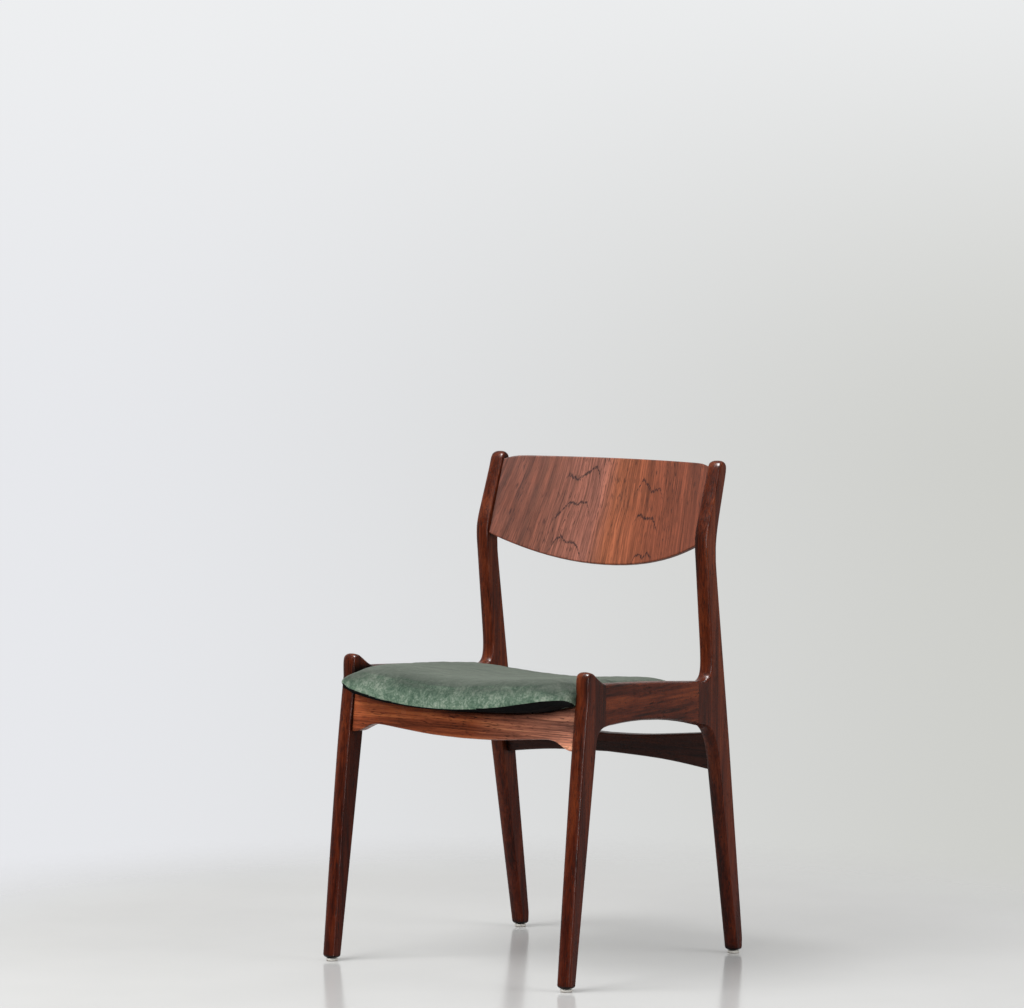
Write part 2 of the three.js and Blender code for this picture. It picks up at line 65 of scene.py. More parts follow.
def add_camera():
    data = bpy.data.cameras.new("camera")
    data.sensor_width = 36
    data.lens = CAMERA_LENS
    data.clip_end = 100
    camera = bpy.data.objects.new("camera", data)
    axes = Matrix((VIEW_RIGHT, VIEW_UP, -VIEW_FORWARD)).transposed()
    camera.matrix_world = Matrix.Translation(CAMERA_PLACE) @ axes.to_4x4()
    bpy.context.scene.collection.objects.link(camera)
    bpy.context.scene.camera = camera


# ------------------------------------------------------------------ node trees

class Shader:
    """The node tree of a new material, or of the world it is given, built one node at a time."""

    def __init__(self, name, world=None):
        self.owner = world or bpy.data.materials.new(name)
        self.owner.use_nodes = True
        self.tree = self.owner.node_tree
        self.tree.nodes.clear()

    def node(self, kind, values=None, **settings):
        made = self.tree.nodes.new(kind)
        for key, value in settings.items():
            setattr(made, key, value)
        for key, value in (values or {}).items():
            self.feed(made.inputs[key], value)
        return made

    def feed(self, socket, value):
        if isinstance(value, bpy.types.NodeSocket):
            self.tree.links.new(value, socket)
        else:
            socket.default_value = value

    def math(self, operation, a, b=0.0, c=0.0, clamp=False):
        made = self.node("ShaderNodeMath", {0: a, 1: b, 2: c}, operation=operation, use_clamp=clamp)
        return made.outputs[0]

    def place(self):
        """Position in the chair's own frame, in metres."""
        return self.node("ShaderNodeTexCoord").outputs["Object"]

    def stretched(self, vector, scale, turn=(0.0, 0.0, 0.0), shift=(0.0, 0.0, 0.0)):
        values = {"Vector": vector, "Location": shift, "Rotation": turn, "Scale": scale}
        return self.node("ShaderNodeMapping", values).outputs[0]

    def noise(self, vector, scale, detail=3.0, rough=0.5, distortion=0.0):
        values = {"Vector": vector, "Scale": scale, "Detail": detail, "Roughness": rough,
                  "Distortion": distortion}
        return self.node("ShaderNodeTexNoise", values).outputs["Fac"]

    def ramp(self, fac, *stops, mode="LINEAR"):
        """Colours along a value: (place, colour) pairs, where a colour may be one grey number."""
        made = self.node("ShaderNodeValToRGB", {"Fac": fac})
        made.color_ramp.interpolation = mode
        elements = made.color_ramp.elements
        while len(elements) < len(stops):
            elements.new(0.5)
        for element, (at, colour) in zip(elements, stops):
            element.position = at
            rgb = (colour,) * 3 if isinstance(colour, (int, float)) else colour
            element.color = (*rgb, 1)
        return made.outputs["Color"]

    def between(self, value, low, high, to=(0.0, 1.0), smooth=False):
        """value's place between low and high, as a number that runs from to[0] to to[1]."""
        span = {"Value": value, "From Min": low, "From Max": high, "To Min": to[0], "To Max": to[1]}
        curve = "SMOOTHSTEP" if smooth else "LINEAR"
        return self.node("ShaderNodeMapRange", span, interpolation_type=curve).outputs[0]

    def blend(self, fac, a, b, mode="MIX"):
        made = self.node("ShaderNodeMix", data_type="RGBA", blend_type=mode)
        self.feed(made.inputs["Factor"], fac)
        self.feed(made.inputs["A"], a if isinstance(a, bpy.types.NodeSocket) else (*a, 1))
        self.feed(made.inputs["B"], b if isinstance(b, bpy.types.NodeSocket) else (*b, 1))
        return made.outputs["Result"]

    def bump(self, height, strength, distance, normal=None):
        values = {"Height": height, "Strength": strength, "Distance": distance}
        if normal is not None:
            values["Normal"] = normal
        return self.node("ShaderNodeBump", values).outputs[0]

    def finish(self, **values):
        named = {key.replace("_", " "): value for key, value in values.items()}
        surface = self.node("ShaderNodeBsdfPrincipled", named)
        output = self.node("ShaderNodeOutputMaterial")
        self.tree.links.new(surface.outputs[0], output.inputs["Surface"])
        return self.owner


# ------------------------------------------------------------------ wood

def wood(name, grain, tones, seed=0.0, fades=None):
    """Oiled hardwood. grain is the axis that its fibres run along, tones its dark, middle and light
    colour. fades tints one end: (axis, where the tint begins, where it is full, tint); on the front
    rail this tint is a painted reflection."""
    s = Shader(name)
    along = {"X": (1, 0, 0), "Y": (0, 1, 0), "Z": (0, 0, 1)}[grain]
    place = s.place()

    def fibres(across, length, shift=0.0):
        scale = tuple(length if axis else across for axis in along)
        return s.stretched(place, scale, shift=(seed + shift,) * 3)

    wander = s.noise(fibres(14, 4, 1.0), 1.0, detail=2)
    bands = s.noise(fibres(60, 3.5, 2.0), 1.0, detail=3, distortion=0.6)
    streaks = s.noise(fibres(420, 9, 3.0), 1.0, detail=4, rough=0.6)
    tone = s.math("MULTIPLY_ADD", bands, 0.5, s.math("MULTIPLY", streaks, 0.4))
    tone = s.math("MULTIPLY_ADD", wander, 0.25, tone)
    dark, middle, light = tones
    colour = s.ramp(tone, (0.45, dark), (0.57, middle), (0.70, light))

    dashes = s.noise(fibres(780, 75, 4.0), 1.0, detail=1)
    pores = s.ramp(dashes, (0.57, 0.0), (0.64, 1.0))
    patches = s.noise(fibres(120, 30, 5.0), 1.0, detail=2)
    pores = s.math("MULTIPLY", pores, s.ramp(patches, (0.42, 0.25), (0.62, 1.0)))
    colour = s.blend(s.math("MULTIPLY", pores, 0.85), colour, tuple(c * 0.3 for c in dark))

    if fades:
        axis, start, end, tint = fades
        along_piece = s.node("ShaderNodeSeparateXYZ", {"Vector": place}).outputs[axis]
        reach = s.between(along_piece, start, end)
        colour = s.blend(reach, colour, s.blend(1.0, colour, tint, mode="MULTIPLY"))
    # Painted shade: the colour darkens where other surfaces crowd in, in joints, grooves and under
    # the pad.
    painted_corner_shade = s.node("ShaderNodeAmbientOcclusion", {"Distance": 0.022}, samples=8).outputs["AO"]
    colour = s.blend(1.0, colour, s.ramp(painted_corner_shade, (0.50, 0.06), (0.88, 1.0)), mode="MULTIPLY")

    rough = s.math("MULTIPLY_ADD", s.noise(place, 35, detail=3), 0.16, 0.2)
    rough = s.math("MULTIPLY_ADD", pores, 0.25, rough)
    relief = s.math("SUBTRACT", s.math("MULTIPLY", streaks, 0.35), pores)
    normal = s.bump(relief, 0.25, 0.0004)
    normal = s.bump(s.noise(place, 60, detail=2), 0.12, 0.002, normal)
    return s.finish(Base_Color=colour, Roughness=rough, Normal=normal, Specular_IOR_Level=0.14)


LEG_TONES = ((0.022, 0.0042, 0.0018), (0.088, 0.0150, 0.0048), (0.175, 0.037, 0.011))
FRONT_RAIL_TONES = ((0.085, 0.020, 0.009), (0.34, 0.078, 0.030), (0.62, 0.175, 0.060))
# Painted shade: the rear rail takes the leg wood's tones darkened to about a third, for the shadow
# of the seat.
REAR_RAIL_SHADED_TONES = ((0.007, 0.002, 0.001), (0.024, 0.0055, 0.003), (0.055, 0.013, 0.006))


WELD = 2e-5  # corners of the facets closer than this, in metres, are one
SHARP_ANGLE = math.radians(38)


def smooth_copy(node, material):
    """The node's own shape with its facets welded and shaded smooth, in place of the node."""
    mesh = NODES[node].data.copy()
    mesh.normals_split_custom_set_from_vertices([(0, 0, 0)] * len(mesh.vertices))
    work = bmesh.new()
    work.from_mesh(mesh)
    bmesh.ops.remove_doubles(work, verts=work.verts, dist=WELD)
    bmesh.ops.dissolve_degenerate(work, edges=work.edges, dist=WELD / 2)
    work.to_mesh(mesh)
    work.free()
    for layer in ("custom_normal", "sharp_edge", "sharp_face"):
        if layer in mesh.attributes:
            mesh.attributes.remove(mesh.attributes[layer])
    mesh.shade_smooth()
    mesh.set_sharp_from_angle(angle=SHARP_ANGLE)
    mesh.materials.clear()
    mesh.materials.append(material)
    piece = bpy.data.objects.new("look_" + node, mesh)
    bpy.context.scene.collection.objects.link(piece)
    weighted = piece.modifiers.new("weighted", "WEIGHTED_NORMAL")
    weighted.keep_sharp = True
    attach(piece, "root")
    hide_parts(node)


# The legs darken towards the floor. The front rail turns pale and greyish pink towards the sitter's
# left, a painted reflection.
LEG_FADE = ("Z", 0.50, 0.10, (0.66, 0.50, 0.45))
FRONT_RAIL_PAINTED_REFLECTION = ("X", 0.02, 0.20, (2.3, 4.0, 6.5))


def add_wood():
    upright = wood("leg_wood", "Z", LEG_TONES, seed=3.0, fades=LEG_FADE)
    lengthwise = wood("side_rail_wood", "Y", LEG_TONES, seed=7.0)
    for side in SIDES:
        smooth_copy(f"front_leg_{side}", upright)
        smooth_copy(f"rear_leg_{side}", upright)
        smooth_copy(f"side_rail_{side}", lengthwise)
        smooth_copy(f"seat_cleat_{side}", lengthwise)
    pale = wood("front_rail_wood", "X", FRONT_RAIL_TONES, seed=11.0, fades=FRONT_RAIL_PAINTED_REFLECTION)
    smooth_copy("front_rail", pale)
    dark = wood("rear_rail_painted_shade", "X", REAR_RAIL_SHADED_TONES, seed=17.0)
    smooth_copy("rear_rail", dark)


# ------------------------------------------------------------------ backrest veneer

# The figure of the veneer: for each arched growth line, its left and right arch as (x, z) in mm.
FLAMES = (
    (((-97, 748), (-91, 756), (-82, 750), (-74, 748), (-64, 755), (-44, 770), (-37, 757),
      (-30, 735)),
     ((42, 730), (54, 753), (60, 747), (67, 744), (73, 735), (79, 734), (86, 738), (93, 739),
      (104, 722))),
    (((-106, 682), (-99, 691), (-89, 703), (-80, 711), (-68, 707), (-62, 712), (-51, 712),
      (-42, 690)),
     ((48, 683), (54, 693), (62, 697), (69, 692), (76, 691), (87, 692), (96, 683), (104, 670))),
    (((-106, 630), (-96, 652), (-87, 657), (-78, 647), (-63, 648), (-54, 639), (-42, 620)),
     ((52, 612), (58, 617), (63, 632), (70, 635), (81, 630), (90, 638), (97, 633), (104, 628))),
)
FLAME_X = (-120.0, 120.0)  # the lines are drawn within these limits, in mm
FLAME_Z = (600.0, 790.0)
FLAME_THICKNESS = (1.2, 3.0)  # full and gone at these distances from a line, in mm


def flame_line(s, x, z, left, right):
    """How much of a broken dark growth line lies at x, z (both in mm)."""
    def share(value, limits):
        return (value - limits[0]) / (limits[1] - limits[0])

    across = s.between(x, *FLAME_X)
    curve = s.node("ShaderNodeFloatCurve", {"Value": across})
    points = curve.mapping.curves[0].points
    points[0].location = (0, 0.5)
    points[1].location = (1, 0.5)
    for point_x, point_z in left + right:
        point = points.new(share(point_x, FLAME_X), share(point_z, FLAME_Z))
        point.handle_type = "VECTOR"
    curve.mapping.update()
    line = s.between(curve.outputs[0], 0.0, 1.0, to=FLAME_Z)
    off = s.math("ABSOLUTE", s.math("SUBTRACT", z, line))
    thin = s.between(off, *FLAME_THICKNESS, to=(1.0, 0.0))
    ends = []
    for arch in (left, right):
        low, high = share(arch[0][0], FLAME_X), share(arch[-1][0], FLAME_X)
        ends += [(low - 0.012, 0.0), (low + 0.02, 1.0), (high - 0.03, 1.0), (high + 0.012, 0.0)]
    return s.math("MULTIPLY", thin, s.ramp(across, *ends))


PANEL_MIDDLE_Z = 0.7
# The veneer's colour across the panel, with a painted sheen in the pale pinkish stops at 0.33 and
# 0.43: share of its width, colour.
VENEER_TONES_AND_SHEEN = (
    (0.0, (0.155, 0.044, 0.024)), (0.15, (0.165, 0.048, 0.026)), (0.168, (0.115, 0.036, 0.020)),
    (0.19, (0.175, 0.052, 0.028)), (0.33, (0.235, 0.080, 0.050)), (0.43, (0.255, 0.091, 0.060)),
    (0.50, (0.27, 0.080, 0.034)), (0.60, (0.24, 0.068, 0.030)), (0.72, (0.20, 0.054, 0.026)),
    (1.0, (0.155, 0.040, 0.020)),
)


def veneer():
    s = Shader("backrest_veneer")
    place = s.place()
    apart = s.node("ShaderNodeSeparateXYZ", {"Vector": place}).outputs
    lean = s.between(apart["X"], -0.2, 0.2, to=(0.19, -0.13))
    height = s.math("SUBTRACT", apart["Z"], PANEL_MIDDLE_Z)
    across = s.math("SUBTRACT", apart["X"], s.math("MULTIPLY", height, lean))
    straight = s.node("ShaderNodeCombineXYZ", {"X": across, "Y": 0.0, "Z": height}).outputs[0]
    bend = s.noise(s.stretched(straight, (6, 1, 9)), 1.0, detail=1)
    bend = s.math("MULTIPLY_ADD", bend, 0.012, -0.006)
    across = s.math("ADD", across, bend)
    flow = s.node("ShaderNodeCombineXYZ", {"X": across, "Y": 0.0, "Z": height}).outputs[0]

    share = s.between(across, -0.22, 0.22)
    veneer_and_sheen = s.ramp(share, *VENEER_TONES_AND_SHEEN)
    streaks = s.noise(s.stretched(flow, (360, 1, 14)), 1.0, detail=4, rough=0.65)
    bands = s.noise(s.stretched(flow, (95, 1, 4), shift=(4, 0, 0)), 1.0, detail=3)
    shade = s.math("MULTIPLY_ADD", bands, 0.4, s.math("MULTIPLY", streaks, 0.6))
    shade = s.ramp(shade, (0.36, 0.42), (0.5, 1.0), (0.62, 1.65))
    colour = s.blend(1.0, veneer_and_sheen, shade, mode="MULTIPLY")
    dashes = s.noise(s.stretched(flow, (560, 1, 70), shift=(9, 0, 2)), 1.0, detail=1)
    pores = s.ramp(dashes, (0.57, 0.0), (0.64, 1.0))
    patches = s.noise(s.stretched(flow, (30, 1, 9), shift=(2, 0, 5)), 1.0, detail=2)
    pores = s.math("MULTIPLY", pores, s.ramp(patches, (0.4, 0.25), (0.6, 1.0)))
    colour = s.blend(s.math("MULTIPLY", pores, 0.8), colour, (0.035, 0.011, 0.007))

    jitter = s.noise(s.stretched(place, (260, 1, 90)), 1.0, detail=3, rough=0.7)
    x = s.math("MULTIPLY", apart["X"], 1000.0)
    z = s.math("MULTIPLY_ADD", apart["Z"], 1000.0, s.math("MULTIPLY_ADD", jitter, 13.0, -6.5))
    lines = 0.0
    for left, right in FLAMES:
        lines = s.math("MAXIMUM", lines, flame_line(s, x, z, left, right))
    dots = s.noise(s.stretched(place, (420, 1, 260)), 1.0, detail=2)
    lines = s.math("MULTIPLY", lines, s.ramp(dots, (0.36, 0.25), (0.52, 1.0)))
    colour = s.blend(s.math("MULTIPLY", lines, 0.9), colour, (0.018, 0.009, 0.009))

    rough = s.math("MULTIPLY_ADD", s.noise(place, 40, detail=3), 0.12, 0.34)
    normal = s.bump(s.math("SUBTRACT", s.math("MULTIPLY", streaks, 0.4), pores), 0.3, 0.0003)
    return s.finish(Base_Color=colour, Roughness=rough, Normal=normal, Specular_IOR_Level=0.22)


# ------------------------------------------------------------------ seat pad

# Measures of the pad in mm; d runs back from the front feet.
ORIGIN_D = 233
PAD_FRONT, PAD_REAR = -20, 373
PAD_BOW = 22  # how far the front edge falls back by its ends
FRONT_CORNER, REAR_CORNER = 17, 16
HALF_WIDTH = 215
SIDE_GAP = 1.6  # from the pad to a side frame
TOUCHING = 0.7  # the least that the gap may become where the pad bulges
THICKNESS, SIDE_FILL = 48.5, 13  # in the middle, and how much more at the sides
WAIST = 0.3  # height of the fullest line at the sides and back, as a share of the thickness
ROLL = 70  # length behind the front edge over which its roll becomes the ordinary waist
END_POWER = 0.28  # how squarely the front and rear edges turn down, 1 being round
# How high the rolled front edge is tucked under, above the flat underside, across the pad; below
# this line the underside is near-black cloth, a painted shade.
HEM = ((-1.0, 15.5), (-0.92, 13.5), (-0.86, 8.8), (-0.73, 6.4), (-0.53, 2.9), (-0.33, 0.9),
       (-0.14, 0.2), (0.04, 0.3), (0.215, 1.6), (0.385, 3.9), (0.55, 6.9), (0.71, 10.8),
       (0.866, 13.9), (1.0, 14.3))
# Unevenness of the filling: middle x, middle d, reach and height of each swelling or hollow.
LUMPS = ((-205, 20, 33, -4.5), (-198, 245, 85, 3.5), (-145, 372, 45, -4.5), (20, 372, 80, 2.5),
         (60, 200, 90, -1.5))
SLACK = 0.8  # the pad starts this much smaller than it is drawn
SWELL = 1.6  # how far the filling may push the cover out
PRESSURE, STEPS = 4, 20  # of the cloth simulation that does it
CREEP = ((38, 0.9), (90, 0.35))  # small unevenness of the cover: noise scale and height
TUCK, TUCK_FADE = 2.5, 3.0  # step under the rolled edge, and the height it grows over
HEM_SNAP = 1.6  # how far an edge of the mesh moves to lie on the hem
FLATTENED, FLATTENED_POWER = 7.0, 4  # how far up, and how fully, its weight flattens the underside
# How it lies on the front rail: widest share of the width, middle d, reach and depth of the sag.
RESTING = {"share": 0.92, "at_d": 46, "reach": 18, "sag": 2.3}
VOXEL = 0.005  # size of the remeshed cells, in metres
CLEARANCE = 0.3  # from the drawn underside down to the lowest the pad may reach


def inner_x(d):
    """Inner face of a side frame."""
    return 219.4 - 0.03613 * (d - 10)


def pad_bottom(x, d):
    return 416.5 - 0.067 * (d - PAD_FRONT) + 13 * (x / HALF_WIDTH) ** 2


def pad_thickness(x):
    return THICKNESS + SIDE_FILL * (x / HALF_WIDTH) ** 2


def corner_fall(u, radius):
    """How far a rounded corner of the outline falls back from the straight edge."""
    across = max(0.0, abs(u) - 1 + radius / HALF_WIDTH) * (HALF_WIDTH / radius)
    return radius * (1 - math.sqrt(max(0.0, 1 - across * across)))


def front_edge(u):
    return PAD_FRONT + PAD_BOW * u * u + corner_fall(u, FRONT_CORNER)


def fullness(u):
    """Share of the full height that is left where the pad thins out towards its sides."""
    return math.sqrt(max(0.01, 1 - abs(u) ** 5))


def underside(x, d):
    """Lowest the pad reaches: flat, higher where its edges thin out, sagging on the front rail."""
    thin = 1 - fullness(min(RESTING["share"], abs(share_of_width(x, d))))
    sag = RESTING["sag"] * math.exp(-((d - RESTING["at_d"]) / RESTING["reach"]) ** 2)
    return pad_bottom(x, d) + pad_thickness(x) * WAIST * thin - CLEARANCE - sag


def hem_height(u):
    """Height of the front hem above the flat underside."""
    return float(np.interp(u, *zip(*HEM)))


def ease(value):
    value = min(1.0, max(0.0, value))
    return value * value * (3 - 2 * value)


def share_of_width(x, d):
    return max(-1.0, min(1.0, x / (inner_x(d) - SIDE_GAP)))


def shade_line_z(x, d):
    """Height of the line where velvet gives way to the near-black cloth of the underside, painted
    shade for the shadow under the rolled front edge.
    """
    u = share_of_width(x, d)
    back = ease((d - front_edge(u)) / ROLL)
    return pad_bottom(x, d) + 1.2 + hem_height(u) * (1 - back)


def pad_point(u, angle):
    """A point of the slack pad: u runs from -1 to 1 across it, angle round its section."""
    front = front_edge(u) + SLACK
    rear = PAD_REAR - corner_fall(u, REAR_CORNER) - SLACK
    turn = math.cos(angle)
    along = math.copysign(abs(turn) ** END_POWER, turn)
    d = (front + rear) / 2 + (rear - front) / 2 * along
    x = u * (inner_x(d) - SIDE_GAP - SLACK)
    thickness = pad_thickness(x)
    back = ease((d - front) / ROLL)
    waist = hem_height(u) * (1 - back) + WAIST * thickness * back
    rise = math.sin(angle)
    reach = (thickness - waist if rise > 0 else waist) - SLACK
    rim = fullness(u) if rise > 0 else fullness(u) * back + (1 - back)
    return Vector((x, d, pad_bottom(x, d) + waist + max(reach, 0.0) * rise * rim))


def to_frame(x, d, z):
    """From the pad's measures to the shared frame, in metres."""
    return Vector((x, d - ORIGIN_D, z)) / 1000


def from_frame(place):
    return place.x * 1000, place.y * 1000 + ORIGIN_D, place.z * 1000


def pad_mesh():
    """The whole pad, a little slack: crowned, dished across, rolled over at its front edge."""
    columns, points = 72, 80
    work = bmesh.new()
    rings = []
    for i in range(columns + 1):
        u = math.sin(math.pi / 2 * (2 * i / columns - 1))
        angles = (-2 * math.pi * j / points for j in range(points))
        rings.append([work.verts.new(pad_point(u, angle)) for angle in angles])
    for ring, after in zip(rings, rings[1:]):
        for j in range(points):
            work.faces.new((ring[j], ring[j - 1], after[j - 1], after[j]))
    work.faces.new(rings[0])
    work.faces.new(reversed(rings[-1]))
    bmesh.ops.recalc_face_normals(work, faces=work.faces)
    for vert in work.verts:
        vert.co = to_frame(*vert.co)
    mesh = bpy.data.meshes.new("seat_pad")
    work.to_mesh(mesh)
    work.free()
    return mesh


def apply_modifiers(piece):
    """Bake what the modifiers make of a piece into its mesh."""
    evaluated = piece.evaluated_get(bpy.context.evaluated_depsgraph_get())
    shaped = bpy.data.meshes.new_from_object(evaluated)
    piece.modifiers.clear()
    piece.data = shaped


def vertex_rows(mesh, attribute="co"):
    flat = np.empty(len(mesh.vertices) * 3)
    mesh.vertices.foreach_get(attribute, flat)
    return flat.reshape(-1, 3)


def inflate(piece):
    """Let the filling push the cover out, as far as SWELL."""
    start, normals = vertex_rows(piece.data), vertex_rows(piece.data, "normal")
    cloth = piece.modifiers.new("filling", "CLOTH")
    cloth.settings.quality = 5
    cloth.settings.use_pressure = True
    cloth.settings.uniform_pressure_force = PRESSURE
    cloth.settings.effector_weights.gravity = 0
    cloth.point_cache.frame_start = 1
    cloth.point_cache.frame_end = STEPS
    for step in range(1, STEPS + 1):
        bpy.context.scene.frame_set(step)
    apply_modifiers(piece)
    bpy.context.scene.frame_set(1)
    outward = ((vertex_rows(piece.data) - start) * normals).sum(axis=1, keepdims=True)
    swollen = start + normals * np.clip(outward, 0, SWELL / 1000)
    piece.data.vertices.foreach_set("co", swollen.ravel())


def settle(piece):
    """Give the pad its unevenness and rest it on the rails and between the side frames."""
    for vert in piece.data.vertices:
        x, d, z = from_frame(vert.co)
        above = ease((z - pad_bottom(x, d)) / pad_thickness(x) * 1.6 - 0.3)
        for at_x, at_d, reach, height in LUMPS:
            z += height * above * math.exp(-((x - at_x) ** 2 + (d - at_d) ** 2) / (2 * reach ** 2))
        z += above * sum(noise.noise(vert.co * scale) * height for scale, height in CREEP)
        lowest = underside(x, d)
        if z < lowest + FLATTENED:
            z = lowest + FLATTENED * max(0.0, (z - lowest) / FLATTENED) ** FLATTENED_POWER
        widest = inner_x(d) - TOUCHING
        vert.co = to_frame(max(-widest, min(widest, x)), d, z)


def tuck_under(piece):
    """Part the velvet from the near-black cloth of painted shade underneath, with a small step at
    the hem.
    """
    mesh = piece.data
    normals = [vert.normal.copy() for vert in mesh.vertices]
    sides = [set() for _ in mesh.vertices]
    for face in mesh.polygons:
        x, d, z = from_frame(face.center)
        face.material_index = int(z < shade_line_z(x, d))
        for index in face.vertices:
            sides[index].add(face.material_index)
    for vert, kinds, normal in zip(mesh.vertices, sides, normals):
        x, d, z = from_frame(vert.co)
        below = shade_line_z(x, d) - z
        if len(kinds) == 2:
            z += max(-HEM_SNAP, min(HEM_SNAP, below))
        elif 1 in kinds and normal.y < -0.2:
            d += TUCK * ease(below / TUCK_FADE)
        vert.co = to_frame(x, d, z)


def add_pad():
    pad = bpy.data.objects.new("seat_pad", pad_mesh())
    bpy.context.scene.collection.objects.link(pad)
    remesh = pad.modifiers.new("remesh", "REMESH")
    remesh.mode = "VOXEL"
    remesh.voxel_size = VOXEL
    apply_modifiers(pad)
    inflate(pad)
    subdivided = pad.modifiers.new("subdivided", "SUBSURF")
    subdivided.levels = subdivided.render_levels = 1
    apply_modifiers(pad)
    settle(pad)
    tuck_under(pad)
    pad.data.shade_smooth()
    pad.data.materials.append(velvet())
    pad.data.materials.append(underside_shade_cloth())
    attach(pad, "root")
    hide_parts("seat_cover", "seat_foam")


def velvet():
    s = Shader("seat_velvet")
    place = s.place()
    brushed = s.noise(place, 85, detail=4, rough=0.65, distortion=0.6)
    speckle = s.noise(place, 330, detail=3, rough=0.7)
    cloud = s.noise(place, 16, detail=3, rough=0.55)
    mix = s.math("MULTIPLY_ADD", brushed, 0.40, s.math("MULTIPLY", cloud, 0.28))
    mix = s.math("MULTIPLY_ADD", speckle, 0.32, mix)
    colour = s.ramp(mix, (0.40, (0.022, 0.046, 0.030)), (0.50, (0.062, 0.098, 0.068)),
                    (0.62, (0.175, 0.210, 0.165)))
    # Painted light by which way the surface faces: the downward roll is painted paler as a painted
    # sheen, and the upward top is painted darker and greyer as a painted grey sheen.
    facing = s.node("ShaderNodeTexCoord").outputs["Normal"]
    level = s.node("ShaderNodeSeparateXYZ", {"Vector": facing}).outputs["Z"]
    level = s.math("MULTIPLY_ADD", brushed, 0.2, s.math("SUBTRACT", level, 0.1))
    painted_facing_light = s.ramp(s.math("MULTIPLY_ADD", level, 0.5, 0.5), (0.38, 2.4), (0.55, 1.8), (0.70, 1.42),
                 (0.90, 0.72))
    colour = s.blend(1.0, colour, painted_facing_light, mode="MULTIPLY")
    flat = s.ramp(level, (0.70, 0.0), (0.95, 0.60))
    colour = s.blend(flat, colour, (0.058, 0.065, 0.055))
    normal = s.bump(s.noise(place, 900, detail=2), 0.25, 0.0004)
    normal = s.bump(brushed, 0.25, 0.002, normal)
    return s.finish(Base_Color=colour, Roughness=0.95, Normal=normal, Specular_IOR_Level=0.10,
                    Sheen_Weight=0.25, Sheen_Roughness=0.5, Sheen_Tint=(0.66, 0.74, 0.62, 1))


# Near-black cloth over the underside and up the front roll to the hem: painted shade for the shadow
# under the pad's front edge.
def underside_shade_cloth():
    s = Shader("seat_underside_shade")
    place = s.place()
    threads = s.noise(place, 1100, detail=1)
    colour = s.ramp(threads, (0.35, 0.004), (0.65, 0.012))
    return s.finish(Base_Color=colour, Roughness=1.0, Normal=s.bump(threads, 0.3, 0.0003),
                    Specular_IOR_Level=0.05)


# ------------------------------------------------------------------ small parts

def nylon():
    s = Shader("glide_nylon")
    place = s.place()
    height = s.node("ShaderNodeSeparateXYZ", {"Vector": place}).outputs["Z"]
    scuffs = s.noise(place, 420, detail=3, rough=0.7)
    grime = s.math("MULTIPLY_ADD", scuffs, 0.004, height)
    grime = s.math("MULTIPLY", grime, 200.0)
    colour = s.ramp(grime, (0.25, (0.20, 0.14, 0.10)), (0.75, (0.62, 0.60, 0.55)))
    return s.finish(Base_Color=colour, Roughness=s.math("MULTIPLY_ADD", scuffs, 0.3, 0.3),
                    Normal=s.bump(scuffs, 0.2, 0.0003), Specular_IOR_Level=0.4)


def steel():
    s = Shader("screw_steel")
    place = s.place()
    wear = s.noise(place, 500, detail=3, rough=0.65)
    colour = s.ramp(wear, (0.35, (0.26, 0.24, 0.22)), (0.65, (0.52, 0.50, 0.48)))
    return s.finish(Base_Color=colour, Roughness=s.math("MULTIPLY_ADD", wear, 0.25, 0.25),
                    Normal=s.bump(wear, 0.2, 0.0001), Metallic=1.0)


def beech():
    s = Shader("dowel_beech")
    place = s.place()
    flecks = s.noise(s.stretched(place, (90, 900, 900)), 1.0, detail=2)
    colour = s.ramp(flecks, (0.4, (0.42, 0.28, 0.16)), (0.62, (0.60, 0.43, 0.27)))
    return s.finish(Base_Color=colour, Roughness=0.6, Normal=s.bump(flecks, 0.3, 0.0002))


def plywood():
    s = Shader("board_plywood")
    place = s.place()
    grain = s.noise(s.stretched(place, (9, 220, 220)), 1.0, detail=4, rough=0.6)
    colour = s.ramp(grain, (0.36, (0.30, 0.17, 0.085)), (0.64, (0.52, 0.34, 0.19)))
    return s.finish(Base_Color=colour, Roughness=0.65, Normal=s.bump(grain, 0.3, 0.0003))


def finish_small_parts():
    """Put each finish on the nodes whose names begin so. The glide nails come after the glides."""
    metal = steel()
    for prefix, finish in (("glide", nylon()), ("cleat_screw", metal), ("seat_screw", metal),
                           ("glide_nail", metal), ("dowel", beech()), ("seat_board", plywood())):
        for name, piece in NODES.items():
            if name.startswith(prefix):
                for slot in piece.material_slots:
                    slot.material = finish


# ------------------------------------------------------------------ stage

FLOOR_EDGE = (0.8, 1.5)  # the floor fades into the backdrop between these distances, in metres


def floor_finish():
    s = Shader("floor_finish")
    place = s.place()
    clouds = s.noise(place, 2.5, detail=3)
    tone = s.ramp(clouds, (0.35, (0.68, 0.68, 0.67)), (0.65, (0.72, 0.72, 0.71)))
    surface = s.node("ShaderNodeBsdfPrincipled", {"Base Color": tone, "Roughness": 0.16})
    far = s.node("ShaderNodeVectorMath", {0: place}, operation="LENGTH").outputs["Value"]
    fade = s.between(far, *FLOOR_EDGE, smooth=True)
    clear = s.node("ShaderNodeBsdfTransparent")
    mixed = s.node("ShaderNodeMixShader", {"Fac": fade, 1: surface.outputs[0], 2: clear.outputs[0]})
    output = s.node("ShaderNodeOutputMaterial")
    s.tree.links.new(mixed.outputs[0], output.inputs["Surface"])
    return s.owner


def add_floor():
    bpy.ops.mesh.primitive_circle_add(vertices=96, radius=FLOOR_EDGE[1], fill_type="NGON")
    floor = bpy.context.object
    floor.name = "floor"
    floor.data.materials.append(floor_finish())
    floor.visible_diffuse = False
    return floor


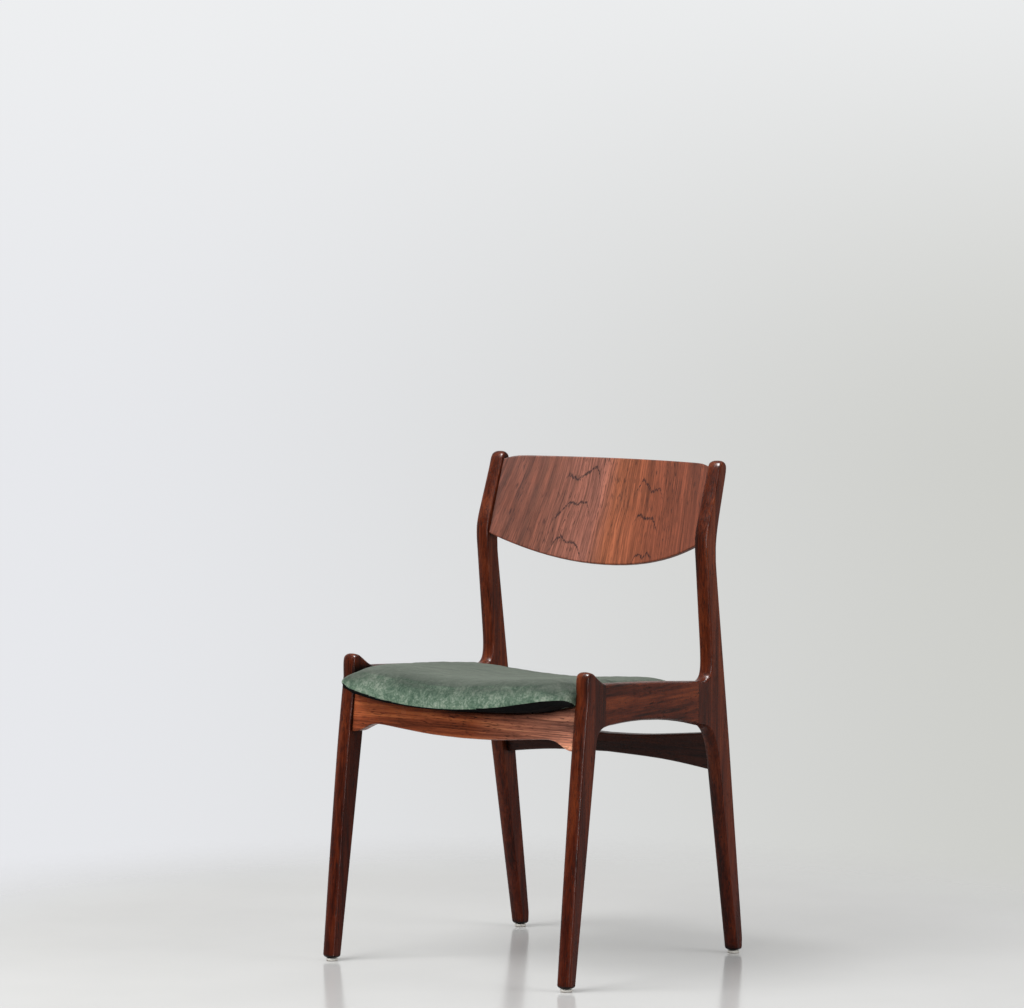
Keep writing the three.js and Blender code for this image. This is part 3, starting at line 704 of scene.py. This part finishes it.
def area_light(name, place, target, size, power):
    data = bpy.data.lights.new(name, "AREA")
    data.shape = "RECTANGLE"
    data.size, data.size_y = size
    data.energy = power
    lamp = bpy.data.objects.new(name, data)
    aim = Vector(target) - Vector(place)
    turned = aim.to_track_quat("-Z", "Y").to_matrix().to_4x4()
    lamp.matrix_world = Matrix.Translation(place) @ turned
    lamp.visible_camera = False
    bpy.context.scene.collection.objects.link(lamp)
    return lamp


# The room's own brightness, as everything but the camera meets it.
ROOM = {"front": (0.22, 0.22, 0.22), "back": (0.60, 0.60, 0.59), "above": (0.46, 0.46, 0.47),
        "below": (0.26, 0.26, 0.26)}


def add_world():
    """A pale backdrop for the camera, and for all else a room that is light behind the chair."""
    bpy.context.scene.world = bpy.data.worlds.new("studio")
    s = Shader("studio", bpy.context.scene.world)
    direction = s.node("ShaderNodeTexCoord").outputs["Generated"]

    def facing(axis, low, high):
        pair = {0: direction, 1: tuple(axis)}
        dot = s.node("ShaderNodeVectorMath", pair, operation="DOT_PRODUCT")
        return s.between(dot.outputs["Value"], low, high, smooth=True)

    backdrop = s.blend(facing(VIEW_RIGHT, -0.12, 0.14), (0.80, 0.81, 0.84), (0.61, 0.615, 0.585))
    backdrop = s.blend(facing((0, 0, 1), -0.06, 0.08), backdrop, (0.86, 0.87, 0.88))
    wall = facing(VIEW_FORWARD, -0.15, 0.35)
    room = s.blend(wall, ROOM["front"], ROOM["back"])
    room = s.blend(facing((0, 0, 1), 0.35, 0.9), room, ROOM["above"])
    room = s.blend(facing((0, 0, -1), 0.0, 0.5), room, ROOM["below"])
    seen = s.node("ShaderNodeLightPath").outputs["Is Camera Ray"]
    colour = s.blend(seen, room, backdrop)
    background = s.node("ShaderNodeBackground", {"Color": colour, "Strength": 1.0})
    output = s.node("ShaderNodeOutputWorld")
    s.tree.links.new(background.outputs[0], output.inputs["Surface"])


def unseen_by(lamp, receiver):
    """Keep a lamp's light and reflection off one object."""
    dark = bpy.data.collections.new(lamp.name + "_shut_out")
    dark.objects.link(receiver)
    dark.collection_objects[0].light_linking.link_state = "EXCLUDE"
    lamp.light_linking.receiver_collection = dark


def add_lights(floor):
    """Soft lamps that light the surfaces, and two that only show as glints on the polish."""
    left = -VIEW_RIGHT
    near = -VIEW_FORWARD
    up = Vector((0, 0, 1))
    middle = (0, 0, 0.45)
    for name, place, size, power in (
            ("key", left * 1.9 + near * 1.1 + up * 3.0, 2.0, 100),
            ("front", near * 4.0 + left * 1.4 + up * 0.7, 1.8, 50),
            ("fill", near * 1.2 - left * 3.2 + up * 1.4, 2.0, 55)):
        lamp = area_light(name, place, middle, (size, size), power)
        lamp.visible_glossy = False
    for name, place, size, power in (
            ("glint_top", up * 3.0 + near * 0.6 + left * 0.4, (0.5, 0.5), 300),
            ("glint_side", near * 3.17 - left * 0.41 + up * 0.9, (0.22, 2.0), 60)):
        lamp = area_light(name, place, middle, size, power)
        lamp.visible_diffuse = False
        unseen_by(lamp, floor)


bpy.context.scene.view_settings.view_transform = "Standard"
add_camera()
add_wood()
smooth_copy("backrest_panel", veneer())
add_pad()
finish_small_parts()
floor = add_floor()
add_world()
add_lights(floor)
